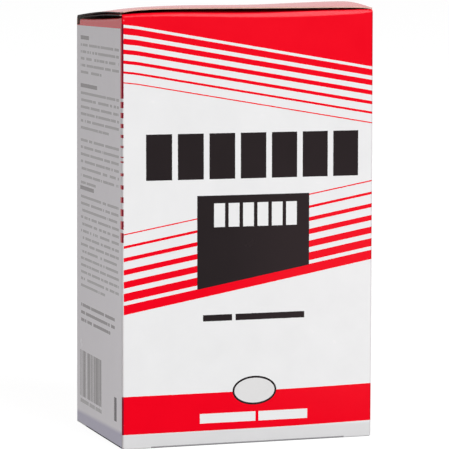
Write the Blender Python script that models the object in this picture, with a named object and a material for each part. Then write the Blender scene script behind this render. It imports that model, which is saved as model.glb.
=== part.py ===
"""Closed paperboard carton of cement powder, about one kilogram.

Two pieces: the carton, which is one die-cut board blank folded and glued shut, and the powder
in it. The carton is closed at both ends by four flaps: a dust flap from each side panel, an
inner flap from the front panel over them, and an outer flap from the back panel over all.
+Z is up, the printed front faces -Y, and the origin is at the centre of the base.
"""

import math

import bmesh
import bpy

MM = 0.001

# Carton, outside sizes
WIDTH = 98.0 * MM
DEPTH = 64.0 * MM
HEIGHT = 160.0 * MM
BOARD = 0.45 * MM
FOLD_RADIUS = 1.0 * MM
LAYER_GAP = 0.3 * MM
LAYER_STEP = BOARD + LAYER_GAP

# Slight bulge of the panels, and how far the long panels lean in at the top
FRONT_BOW = 0.4 * MM
SIDE_BOW = 0.3 * MM
TOP_LEAN = 0.6 * MM

# Outer top flap: heights over HEIGHT of its free edge, its crest and its hinge. Each starts
# low at the left end, rises, and settles over a short distance, its reach.
EDGE_LEFT, EDGE_RISE, EDGE_REACH = 0.95 * MM, 1.05 * MM, 8.0 * MM
CREST_LEFT, CREST_RISE, CREST_REACH = 1.4 * MM, 1.6 * MM, 9.0 * MM
HINGE_LEFT, HINGE_RISE, HINGE_REACH = -1.5 * MM, 1.5 * MM, 14.0 * MM
CREST_LIFT_RIGHT = 1.2 * MM

# Where the crest lies, as a share of the depth from the front, at the left and right ends
CREST_AT_LEFT, CREST_AT_RIGHT = 0.30, 0.48

# Inner top flap: how much straighter it is than the outer one
INNER_SAG = 0.6 * MM

# Side panels: the top fold is crushed down towards the back, mostly on the left
SIDE_FOLD_FRONT = HEIGHT - 0.6 * MM
SIDE_CRUSH_LEFT = 2.3 * MM
SIDE_CRUSH_RIGHT = 0.5 * MM
DUST_SETTLE = 8.0 * MM

# Flap lengths from the face of the panel that each one hangs on, and how much narrower a
# flap is at its free end, on each side
OUTER_FLAP, OUTER_TAPER = DEPTH - 1.2 * MM, 0.3 * MM
INNER_FLAP, INNER_TAPER = DEPTH - 7.0 * MM, 1.2 * MM
DUST_FLAP, DUST_TAPER = 43.0 * MM, 4.0 * MM

# Powder, up to its level in the carton
POWDER_LEVEL = 150.0 * MM

# Divisions of the mesh
FRONT_COLUMNS = 16
SIDE_COLUMNS = 8
PANEL_ROWS = 8
CORNER_STEPS = 3
FOLD_STEPS = 3
TOP_FLAP_ROWS = 8
BASE_FLAP_ROWS = 1

SHARP_ANGLE = math.radians(35)
CARD_COLOUR, CARD_ROUGHNESS = (0.86, 0.86, 0.87, 1.0), 0.4
POWDER_COLOUR, POWDER_ROUGHNESS = (0.42, 0.42, 0.41, 1.0), 0.95


# Heights of the flaps and folds


def settle(x, start, rise, reach):
    """A value that starts at the left end and has risen after a distance of a few reaches."""
    return start + rise * (1.0 - math.exp(-(x + WIDTH / 2) / reach))


def outer_flap_top(x, y):
    """Height of the outer top flap's upper surface: an arch from the front to the back."""
    across = (x + WIDTH / 2) / WIDTH
    edge = settle(x, EDGE_LEFT, EDGE_RISE, EDGE_REACH)
    crest = settle(x, CREST_LEFT, CREST_RISE, CREST_REACH) + CREST_LIFT_RIGHT * across**1.5
    hinge = settle(x, HINGE_LEFT, HINGE_RISE, HINGE_REACH)
    crest_at = CREST_AT_LEFT + (CREST_AT_RIGHT - CREST_AT_LEFT) * across
    back = (y + DEPTH / 2) / DEPTH
    if back < crest_at:
        return HEIGHT + edge + (crest - edge) * math.sin(math.pi / 2 * back / crest_at)
    fall = 1.0 - math.cos(math.pi / 2 * (back - crest_at) / (1.0 - crest_at))
    return HEIGHT + crest + (hinge - crest) * fall


def inner_flap_top(x, y):
    """Height of the inner top flap, which lies under the outer one and is straighter."""
    back = (y + DEPTH / 2) / DEPTH
    return outer_flap_top(x, y) - LAYER_STEP - INNER_SAG * 4 * back * (1 - back)


def side_fold_top(y, side):
    """Height of a side panel's top fold. side is -1 at the left and 1 at the right."""
    crush = SIDE_CRUSH_LEFT if side < 0 else SIDE_CRUSH_RIGHT
    front = (DEPTH / 2 - y) / DEPTH
    return SIDE_FOLD_FRONT - crush * (1 - front**2)


def dust_flap_top(x, y, side):
    """Height of a dust flap, which rises from its fold until it lies under the inner flap."""
    hinge_x = side * WIDTH / 2
    slack = inner_flap_top(hinge_x, y) - LAYER_STEP - side_fold_top(y, side)
    fade = math.exp(-abs(hinge_x - x) / DUST_SETTLE)
    return inner_flap_top(x, y) - LAYER_STEP - slack * fade


def round_corner(x, y, on_long_panel, on_side_panel):
    """A value that changes over a corner's fold from the long panel's to the side panel's."""
    past_x = max(0.0, abs(x) - (WIDTH / 2 - FOLD_RADIUS))
    past_y = max(0.0, abs(y) - (DEPTH / 2 - FOLD_RADIUS))
    turn = math.atan2(past_x, past_y) / (math.pi / 2)
    return on_long_panel + (on_side_panel - on_long_panel) * turn


def wall_base(x, y):
    """Height at which the upright wall starts, above the fold to a base flap."""
    on_long_panel = LAYER_STEP if y < 0 else 0.0
    return FOLD_RADIUS + round_corner(x, y, on_long_panel, 2 * LAYER_STEP)


def wall_top(x, y):
    """Height at which the upright wall ends, below the fold to a top flap."""
    long_panel_flap = inner_flap_top(x, -DEPTH / 2) if y < 0 else outer_flap_top(x, DEPTH / 2)
    side_fold = side_fold_top(y, -1 if x < 0 else 1)
    return round_corner(x, y, long_panel_flap, side_fold) - FOLD_RADIUS


# Plan and wall of the sleeve


def sleeve_plan():
    """The points of the sleeve's plan, anticlockwise from the front left.

    Each is (x, y, panel, across). The panel is front, right, back or left, or corner for a
    point on a fold between two, and across runs from -1 to 1 over the panel.
    """
    flat_x, flat_y = WIDTH / 2 - FOLD_RADIUS, DEPTH / 2 - FOLD_RADIUS
    sides = [
        ("front", (-flat_x, -DEPTH / 2), (flat_x, -DEPTH / 2), FRONT_COLUMNS),
        ("right", (WIDTH / 2, -flat_y), (WIDTH / 2, flat_y), SIDE_COLUMNS),
        ("back", (flat_x, DEPTH / 2), (-flat_x, DEPTH / 2), FRONT_COLUMNS),
        ("left", (-WIDTH / 2, flat_y), (-WIDTH / 2, -flat_y), SIDE_COLUMNS),
    ]
    centres = [(flat_x, -flat_y), (flat_x, flat_y), (-flat_x, flat_y), (-flat_x, -flat_y)]
    points = []
    for index, (panel, start, end, columns) in enumerate(sides):
        for column in range(columns + 1):
            share = column / columns
            x = start[0] + (end[0] - start[0]) * share
            y = start[1] + (end[1] - start[1]) * share
            points.append((x, y, panel, 2 * share - 1))
        for step in range(1, CORNER_STEPS):
            turn = math.pi / 2 * (index - 1 + step / CORNER_STEPS)
            x = centres[index][0] + FOLD_RADIUS * math.cos(turn)
            y = centres[index][1] + FOLD_RADIUS * math.sin(turn)
            points.append((x, y, "corner", 0.0))
    return points


def wall_point(plan_point, height):
    """A point of the wall at a height, with its panel's bulge and lean."""
    x, y, panel, across = plan_point
    share = height / HEIGHT
    bulge = math.sin(math.pi * share) * math.cos(math.pi / 2 * across) ** 2
    if panel in ("left", "right"):
        x += math.copysign(SIDE_BOW * bulge, x)
    elif panel in ("front", "back"):
        y += math.copysign(FRONT_BOW * bulge, y)
    return x, y * (1 - TOP_LEAN / (DEPTH / 2) * share**2), height


# Meshes


def extrude_line(bm, line, place, closed=False):
    """Extrudes a line of vertices once, and moves each new one to place(its column)."""
    ends = line[1:] + line[:1] if closed else line[1:]
    edges = [bm.edges.get(pair) for pair in zip(line, ends)]
    made = bmesh.ops.extrude_edge_only(bm, edges=edges)["geom"]
    new = {vert for vert in made if isinstance(vert, bmesh.types.BMVert)}
    following = []
    for column, vert in enumerate(line):
        twin = next(e.other_vert(vert) for e in vert.link_edges if e.other_vert(vert) in new)
        twin.co = place(column)
        following.append(twin)
    return following


def fold_flap(bm, hinge, inward, length, taper, rows, surface):
    """Folds a flap in from a line of hinge vertices and lays it on a surface.

    inward is the unit step (x, y) away from the panel, length and taper are the flap's own,
    rows is how many it is divided into, and surface gives its outer height at (x, y).
    """
    starts = [vert.co.copy() for vert in hinge]
    middle = (starts[0] + starts[-1]) / 2
    half_width = (starts[-1] - starts[0]).length / 2

    def plan(column, reach):
        narrower = 1 - taper / half_width * reach / length
        x, y = (middle + (starts[column] - middle) * narrower).to_2d()
        return x + inward[0] * reach, y + inward[1] * reach

    line = hinge
    for step in range(1, FOLD_STEPS + 1):
        turn = math.pi / 2 * step / FOLD_STEPS
        reach = FOLD_RADIUS * (1 - math.cos(turn))

        def on_fold(column):
            level = surface(*plan(column, FOLD_RADIUS))
            rise = (level - starts[column].z) * math.sin(turn)
            return *plan(column, reach), starts[column].z + rise

        line = extrude_line(bm, line, on_fold)
    for step in range(1, rows + 1):
        reach = FOLD_RADIUS + (length - FOLD_RADIUS) * step / rows

        def on_flap(column):
            x, y = plan(column, reach)
            return x, y, surface(x, y)

        line = extrude_line(bm, line, on_flap)


def finish_part(bm, name, colour, roughness):
    """Makes the mesh an object with its own material, its round folds shaded smooth."""
    bmesh.ops.recalc_face_normals(bm, faces=bm.faces)
    mesh = bpy.data.meshes.new(name)
    bm.to_mesh(mesh)
    bm.free()
    mesh.shade_smooth()
    mesh.set_sharp_from_angle(angle=SHARP_ANGLE)
    material = bpy.data.materials.new(name)
    material.use_nodes = True
    shader = material.node_tree.nodes["Principled BSDF"]
    shader.inputs["Base Color"].default_value = colour
    shader.inputs["Roughness"].default_value = roughness
    shader.inputs["Metallic"].default_value = 0.0
    mesh.materials.append(material)
    part = bpy.data.objects.new(name, mesh)
    bpy.context.scene.collection.objects.link(part)
    return part


# Sub-parts


def make_carton():
    """The folded blank: four walls in one sleeve, with four flaps at each end."""
    plan = sleeve_plan()
    low = [wall_base(x, y) for x, y, _, _ in plan]
    high = [wall_top(x, y) for x, y, _, _ in plan]
    bm = bmesh.new()
    base_line = [bm.verts.new(wall_point(p, z)) for p, z in zip(plan, low)]
    for pair in zip(base_line, base_line[1:] + base_line[:1]):
        bm.edges.new(pair)
    line = base_line
    for row in range(1, PANEL_ROWS + 1):
        share = row / PANEL_ROWS

        def on_wall(column):
            height = low[column] + (high[column] - low[column]) * share
            return wall_point(plan[column], height)

        line = extrude_line(bm, line, on_wall, closed=True)

    flaps = [
        ("front", (0, 1), INNER_FLAP, INNER_TAPER, inner_flap_top, LAYER_STEP),
        ("back", (0, -1), OUTER_FLAP, OUTER_TAPER, outer_flap_top, 0.0),
        ("left", (1, 0), DUST_FLAP, DUST_TAPER, lambda x, y: dust_flap_top(x, y, -1), 2 * LAYER_STEP),
        ("right", (-1, 0), DUST_FLAP, DUST_TAPER, lambda x, y: dust_flap_top(x, y, 1), 2 * LAYER_STEP),
    ]
    for panel, inward, length, taper, top_surface, base_level in flaps:
        columns = [column for column, point in enumerate(plan) if point[2] == panel]
        top_hinge = [line[column] for column in columns]
        base_hinge = [base_line[column] for column in columns]
        fold_flap(bm, top_hinge, inward, length, taper, TOP_FLAP_ROWS, top_surface)
        fold_flap(bm, base_hinge, inward, length, taper, BASE_FLAP_ROWS, lambda x, y: base_level)

    carton = finish_part(bm, "carton", CARD_COLOUR, CARD_ROUGHNESS)
    board = carton.modifiers.new("board", "SOLIDIFY")
    board.thickness = BOARD
    board.offset = -1.0
    board.use_even_offset = True


def make_powder():
    """The powder: a plain block on the base flaps, clear of the board all round."""
    clear = BOARD + LAYER_GAP
    size_x = WIDTH - 2 * clear
    size_y = DEPTH - 2 * clear - 2 * TOP_LEAN
    floor = 2 * LAYER_STEP + clear
    bm = bmesh.new()
    bmesh.ops.create_cube(bm, size=1.0)
    bmesh.ops.scale(bm, vec=(size_x, size_y, POWDER_LEVEL - floor), verts=bm.verts)
    bmesh.ops.translate(bm, vec=(0, 0, (POWDER_LEVEL + floor) / 2), verts=bm.verts)
    bmesh.ops.bevel(
        bm,
        geom=bm.edges[:],
        offset=FOLD_RADIUS,
        segments=CORNER_STEPS,
        profile=0.5,
        affect="EDGES",
        material=-1,
    )
    finish_part(bm, "cement_powder", POWDER_COLOUR, POWDER_ROUGHNESS)


for old in list(bpy.data.objects):
    bpy.data.objects.remove(old)
make_carton()
make_powder()
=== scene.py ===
"""Dresses the cement carton: its printed board, the powder in it, and the studio around it.

The board is one sheet, folded and glued shut, so it is one piece here too. It follows the
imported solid's surface with finer folds, a soft top crease, tucked base edges and slight
ripples. The print is made of inks laid over the board by masks that read the object's own
coordinates, in millimetres. Every place where the real carton has words holds plain bars.
"""

from __future__ import annotations

import logging
import math
from dataclasses import dataclass, field, replace
from enum import Enum
from functools import partial, reduce
from typing import Callable, NamedTuple, Protocol, Sequence

import bmesh
import bpy
from mathutils import Matrix, Vector, noise

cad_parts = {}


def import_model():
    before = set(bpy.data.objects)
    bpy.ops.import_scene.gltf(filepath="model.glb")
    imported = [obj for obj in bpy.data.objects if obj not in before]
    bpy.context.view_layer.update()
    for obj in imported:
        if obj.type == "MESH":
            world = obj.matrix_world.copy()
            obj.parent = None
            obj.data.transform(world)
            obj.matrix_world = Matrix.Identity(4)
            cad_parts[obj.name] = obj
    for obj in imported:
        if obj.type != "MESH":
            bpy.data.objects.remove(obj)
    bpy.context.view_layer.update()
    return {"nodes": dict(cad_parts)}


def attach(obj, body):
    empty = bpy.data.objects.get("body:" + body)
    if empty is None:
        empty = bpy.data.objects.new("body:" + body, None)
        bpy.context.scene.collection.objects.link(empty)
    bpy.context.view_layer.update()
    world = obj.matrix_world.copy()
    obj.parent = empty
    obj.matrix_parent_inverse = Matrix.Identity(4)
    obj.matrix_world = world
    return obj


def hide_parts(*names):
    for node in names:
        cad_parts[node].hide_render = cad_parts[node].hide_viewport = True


LOG = logging.getLogger("cement_carton")

MM = 0.001
METRES_TO_MM = 1000.0
FAR = 500.0
NEARLY = 0.999
HALF_STEP = 0.5
WHITE = (1.0, 1.0, 1.0)

Colour = tuple[float, float, float]
Socket = bpy.types.NodeSocket
Value = bpy.types.NodeSocket | float
Height = Callable[[float, float], float]


class Surface(Enum):
    """The printed and bare surfaces of the board, in the order of its material slots."""

    FRONT = 0
    FRONT_FOLD = 1
    LEFT = 2
    RIGHT = 3
    BACK = 4
    OUTER_FLAP = 5
    TUCKED_FLAP = 6
    BASE = 7
    INSIDE = 8
    CUT_EDGE = 9
    # The cut edges at the ends, painted near black as shade.
    END_EDGE = 10
    BASE_EDGE = 11
    RIGHT_FOLD = 12
    BACK_FOLD = 13


@dataclass(frozen=True)
class Settling:
    """A height that starts at the carton's left end and rises over a reach."""

    start: float
    rise: float
    reach: float
    slow: bool = False

    def at(self, from_left: float) -> float:
        """Gives the height at a distance from the left end."""
        share = max(0.0, from_left) / self.reach
        return self.start + self.rise * (1.0 - math.exp(-(share**2 if self.slow else share)))


@dataclass(frozen=True)
class PlanPoint:
    """One point of the sleeve's plan, on a panel or on the fold between two."""

    x: float
    y: float
    panel: str
    across: float


@dataclass(frozen=True)
class Fold:
    """The shape of a fold between a panel and a flap: round, or flattened like a bevel."""

    reach: float
    bevel: float = 0.0
    relief: float = 0.0
    bevel_power: float = 1.2
    nose_power: float = 4.0

    def at(self, share: float) -> tuple[float, float]:
        """Follows the fold from its panel to its flap.

        Args:
            share: how much of the way is done, 0 to 1.

        Returns:
            The shares of the fold's reach and of its height.
        """
        turn = math.pi / 2 * share
        risen = math.sin(turn)
        rounded = 1 - math.cos(turn)
        if not self.bevel:
            return rounded, risen
        sloped = self.bevel * risen**self.bevel_power
        return sloped + (1 - self.bevel) * rounded**self.nose_power, risen


@dataclass(frozen=True)
class CartonForm:
    """The closed carton's outer surface, in millimetres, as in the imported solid."""

    width: float = 98.0
    depth: float = 64.0
    height: float = 160.0
    board: float = 0.45
    fold_radius: float = 1.0
    corner_radius: float = 0.6
    base_radius: float = 0.4
    side_base_radius: float = 0.8
    base_relief: float = 0.7
    layer_gap: float = 0.12

    front_bow: float = 0.4
    side_bow: float = 0.12
    top_lean: float = 0.6
    splay: float = 0.17
    racking: float = 0.1
    right_trim: float = 0.15

    edge: Settling = Settling(1.42, 1.33, 4.2)
    crest: Settling = Settling(1.05, 2.2, 19.12)
    hinge: Settling = Settling(-1.74, 2.2, 11.32, slow=True)
    crest_lift_right: float = 0.368
    crest_lift_power: float = 1.5
    crest_wave: float = 0.316
    crest_wave_length: float = 72.4
    crest_wave_peak: float = -27.1
    crest_at_left: float = 0.141
    crest_at_right: float = 0.445
    crest_at_curve: float = 1.1
    edge_dip: float = 0.65
    edge_dip_reach: float = 3.0
    inner_sag: float = 0.5

    side_fold_drop: float = 0.6
    side_crush_left: float = 2.3
    side_crush_right: float = 0.5
    dust_settle: float = 8.0
    dust_pocket: float = 2.2
    dust_pocket_at: float = 5.0
    dust_relief: float = 4.2
    small_relief: float = 0.7
    cut_width: float = 0.002
    cut_margin: float = 0.05
    end_column: float = 0.012

    outer_flap: float = 62.8
    outer_taper: float = 0.3
    inner_flap: float = 57.0
    inner_taper: float = 1.2
    dust_flap: float = 43.0
    dust_taper: float = 4.0
    base_settle: float = 0.25

    crease_height: float = 160.1
    crease_rise: float = 0.4
    crease_wave: float = 0.3
    crease_wave_length: float = 74.0
    crease_wave_peak: float = -38.0
    crease_drop_left: float = 0.3
    crease_lift_right: float = 1.0
    crease_end_reach: float = 4.5
    crease_below: float = 0.5
    crease_swell: float = 0.65
    crease_swell_at: float = 24.0
    crease_swell_reach: float = 22.0
    crease_above: float = 0.5
    crease_reach: float = 0.9
    crease_bevel: float = 0.7
    mouth_reach: float = 8.0

    notch_depth: float = 1.3
    corner_sharpness: float = 9.0
    tuck: float = 0.15
    tuck_height: float = 6.0
    ripple: float = 0.09
    ripple_length: float = 24.0

    @property
    def flat_x(self) -> float:
        """Half the width of the front, up to its corner folds."""
        return self.width / 2 - self.corner_radius

    @property
    def flat_y(self) -> float:
        """Half the depth of a side, up to its corner folds."""
        return self.depth / 2 - self.corner_radius

    @property
    def layer_step(self) -> float:
        """The height from one flap's upper surface to the next one's."""
        return self.board + self.layer_gap

    def outer_flap_top(self, x: float, y: float) -> float:
        """Gives the height of the outer top flap, an arch from the front to the back.

        Args:
            x: distance to the right of the carton's middle.
            y: distance behind the carton's middle.

        Returns:
            The height of the flap's upper surface.
        """
        from_left = x + self.width / 2
        across = min(1.0, max(0.0, from_left / self.width))
        settled = 1.0 - math.exp(-from_left / self.crest.reach)
        wave = math.cos(2 * math.pi * (x - self.crest_wave_peak) / self.crest_wave_length)
        edge = self.edge.at(from_left)
        edge -= self.edge_dip * math.exp((x - self.width / 2) / self.edge_dip_reach)
        crest = self.crest.at(from_left) + self.crest_wave * wave * settled
        crest += self.crest_lift_right * across**self.crest_lift_power
        hinge = self.hinge.at(from_left)
        crest_at = self.crest_at_left
        crest_at += (self.crest_at_right - self.crest_at_left) * across**self.crest_at_curve
        back = (y + self.depth / 2) / self.depth
        if back < crest_at:
            climb = math.sin(math.pi / 2 * back / crest_at)
            return self.height + edge + (crest - edge) * climb
        fall = 1.0 - math.cos(math.pi / 2 * (back - crest_at) / (1.0 - crest_at))
        return self.height + crest + (hinge - crest) * fall

    def inner_flap_top(self, x: float, y: float) -> float:
        """Gives the height of the inner top flap, which sags, and dips to the front's crease.

        Args:
            x: where, across the carton.
            y: where, towards its back.

        Returns:
            The height in millimetres.
        """
        from_front = y + self.depth / 2
        back = from_front / self.depth
        sag = self.inner_sag * 4 * back * (1 - back)
        under = self.outer_flap_top(x, -self.depth / 2) - self.layer_step
        mouth = under - self.crease_at(x) - self.crease_above
        dip = max(0.0, mouth) * math.exp(-from_front / self.mouth_reach)
        return self.outer_flap_top(x, y) - self.layer_step - sag - dip

    def side_fold_top(self, y: float, side: int) -> float:
        """Gives the height of a side panel's top fold.

        Args:
            y: where, towards its back.
            side: -1 at the left, 1 at the right.

        Returns:
            The height in millimetres.
        """
        crush = self.side_crush_left if side < 0 else self.side_crush_right
        front = (self.depth / 2 - y) / self.depth
        return self.height - self.side_fold_drop - crush * (1 - front**2)

    def dust_flap_top(self, x: float, y: float, side: int) -> float:
        """Gives the height of a dust flap, which dips and then rises to the inner flap.

        Args:
            x: where, across the carton.
            y: where, towards its back.
            side: -1 at the left, 1 at the right.

        Returns:
            The height in millimetres.
        """
        hinge_x = side * self.width / 2
        inside = abs(hinge_x - x)
        under = self.inner_flap_top(hinge_x, y) - self.layer_step
        slack = (under - self.side_fold_top(y, side)) * math.exp(-inside / self.dust_settle)
        share = max(0.0, inside - self.fold_radius) / self.dust_pocket_at
        pocket = self.dust_pocket * share * math.exp(1.0 - share)
        return self.inner_flap_top(x, y) - self.layer_step - slack - pocket

    def round_corner(self, x: float, y: float, on_long: float, on_side: float) -> float:
        """Blends a value over a corner's fold, from the long panel's to the side panel's.

        Args:
            x: where, across the carton.
            y: where, towards its back.
            on_long: the value on the long panel.
            on_side: the value on the side panel.

        Returns:
            The value at that place.
        """
        past_x = max(0.0, abs(x) - self.flat_x)
        past_y = max(0.0, abs(y) - self.flat_y)
        turn = math.atan2(past_x, past_y) / (math.pi / 2)
        return on_long + (on_side - on_long) * turn**self.corner_sharpness

    def relief(self, x: float, y: float) -> float:
        """Gives how far from a corner a dust flap starts."""
        return self.dust_relief if x < 0 < y else self.small_relief

    def corner_notch(self, x: float, y: float) -> float:
        """Gives how far the left side is cut down below its fold, next to the back corner.

        Args:
            x: where, across the carton.
            y: where, towards its back.

        Returns:
            The depth in millimetres, 0 where nothing is cut.
        """
        on_side = -x > self.flat_x + NEARLY * self.corner_radius
        cut_back = self.flat_y - self.dust_relief + self.cut_margin < y <= self.flat_y
        return self.notch_depth if on_side and cut_back else 0.0

    def crease_at(self, x: float) -> float:
        """Gives the height at which the front's top fold turns to the light.

        Args:
            x: where, across the carton.

        Returns:
            The height in millimetres.
        """
        wave = math.cos(2 * math.pi * (x - self.crease_wave_peak) / self.crease_wave_length)
        drop = math.exp(-(x + self.width / 2) / self.crease_end_reach)
        lift = math.exp((x - self.width / 2) / self.crease_end_reach)
        ends = self.crease_lift_right * lift - self.crease_drop_left * drop
        rise = self.crease_rise * (x / self.width + 0.5) ** 2
        return self.crease_height + self.crease_wave * wave + rise + ends

    def crease_depth(self, x: float) -> float:
        """Gives how far the front's top fold reaches below its crease."""
        share = (x - self.crease_swell_at) / self.crease_swell_reach
        return self.crease_below + self.crease_swell * math.exp(-(share**2))

    def wall_base(self, x: float, y: float) -> float:
        """Gives the height at which the wall starts, above the fold to a base flap."""
        return self.round_corner(x, y, self.base_radius, self.side_base_radius)

    def wall_top(self, x: float, y: float) -> float:
        """Gives the height at which the wall ends, below the fold to a top flap.

        Args:
            x: where, across the carton.
            y: where, towards its back.

        Returns:
            The height in millimetres.
        """
        if y < 0:
            on_long = self.crease_at(x) - self.crease_depth(x)
        else:
            on_long = self.outer_flap_top(x, self.depth / 2) - self.fold_radius
        on_side = self.side_fold_top(y, -1 if x < 0 else 1) - self.fold_radius
        return self.round_corner(x, y, on_long, on_side) - self.corner_notch(x, y)

    def base_level(self, x: float, y: float, flap: Flap) -> float:
        """Gives a base flap's height, on the floor at its fold and on the layers below it.

        Args:
            x: where, across the carton.
            y: where, towards its back.
            flap: the base flap, as its panel's top one.

        Returns:
            The height in millimetres.
        """
        past_fold = max(0.0, flap.from_hinge(x, y, self) - flap.base_radius(self))
        settled = min(1.0, past_fold / (self.base_settle * (1 + flap.base_layer)))
        return flap.base_layer * self.layer_step * settled

    def plan(self, long_columns: int, side_columns: int, corner_steps: int) -> list[PlanPoint]:
        """Lists the sleeve's plan anticlockwise from the front left.

        Args:
            long_columns: divisions of the front and of the back.
            side_columns: divisions of each side.
            corner_steps: divisions of each corner's fold.

        Returns:
            The points, with across running from -1 to 1 over each panel.
        """
        flat_x, flat_y = self.flat_x, self.flat_y
        half_x, half_y = self.width / 2, self.depth / 2
        sides = [
            ("front", (-flat_x, -half_y), (flat_x, -half_y), long_columns),
            ("right", (half_x, -flat_y), (half_x, flat_y), side_columns),
            ("back", (flat_x, half_y), (-flat_x, half_y), long_columns),
            ("left", (-half_x, flat_y), (-half_x, -flat_y), side_columns),
        ]
        centres = [(flat_x, -flat_y), (flat_x, flat_y), (-flat_x, flat_y), (-flat_x, -flat_y)]
        corners = ["front_right", "back_right", "back_left", "front_left"]
        points = []
        for index, (panel, start, end, columns) in enumerate(sides):
            shares = [column / columns for column in range(columns + 1)]
            if panel in ("right", "left"):
                inset = self.dust_relief / (2 * flat_y)
                cuts = {inset, inset + self.cut_width, self.end_column, 1 - self.end_column}
                shares = sorted({*shares, *cuts})
            for share in shares:
                x = start[0] + (end[0] - start[0]) * share
                y = start[1] + (end[1] - start[1]) * share
                points.append(PlanPoint(x, y, panel, 2 * share - 1))
            for step in range(1, corner_steps):
                turn = math.pi / 2 * (index - 1 + step / corner_steps)
                x = centres[index][0] + self.corner_radius * math.cos(turn)
                y = centres[index][1] + self.corner_radius * math.sin(turn)
                points.append(PlanPoint(x, y, corners[index], 0.0))
        return points

    def wall_point(self, point: PlanPoint, height: float) -> Vector:
        """Gives a point of the wall, with its panel's bulge, lean, tuck and ripples.

        Args:
            point: where it lies in the plan.
            height: how high it lies.

        Returns:
            The point in millimetres.
        """
        x, y = point.x, point.y
        share = height / self.height
        bulge = math.sin(math.pi * share) * math.cos(math.pi / 2 * point.across) ** 2
        place = Vector((x, y, height)) / self.ripple_length
        ripple = self.ripple * (noise.noise(place) - 1.0) / 2 * bulge
        if point.panel in ("left", "right"):
            low = max(0.0, 1.0 - height / self.tuck_height)
            tucked = self.tuck * low**2 * math.cos(math.pi / 2 * point.across)
            x += math.copysign(self.side_bow * bulge + ripple - tucked, x)
        elif point.panel in ("front", "back"):
            y += math.copysign(self.front_bow * bulge + ripple, y)
        x *= 1 + self.splay / (self.width / 2) * (1 - share)
        x += self.racking * share
        x *= 1 - self.right_trim / (self.width / 2) * (x > 0)
        return Vector((x, y * (1 - self.top_lean / (self.depth / 2) * share**2), height))


@dataclass(frozen=True)
class Flap:
    """One flap, the same at the top and at the base apart from what it lies on."""

    panel: str
    inward: tuple[int, int]
    length: float
    taper: float
    top: Height
    base_layer: int
    surface: Surface

    def from_hinge(self, x: float, y: float, form: CartonForm) -> float:
        """Gives how far in from its panel a place on the flap lies."""
        along_x, along_y = self.inward
        return form.width / 2 + x * along_x if along_x else form.depth / 2 + y * along_y

    def base_radius(self, form: CartonForm) -> float:
        """Gives the radius of the fold that the flap hangs on at the base."""
        return form.side_base_radius if self.inward[0] else form.base_radius


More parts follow.
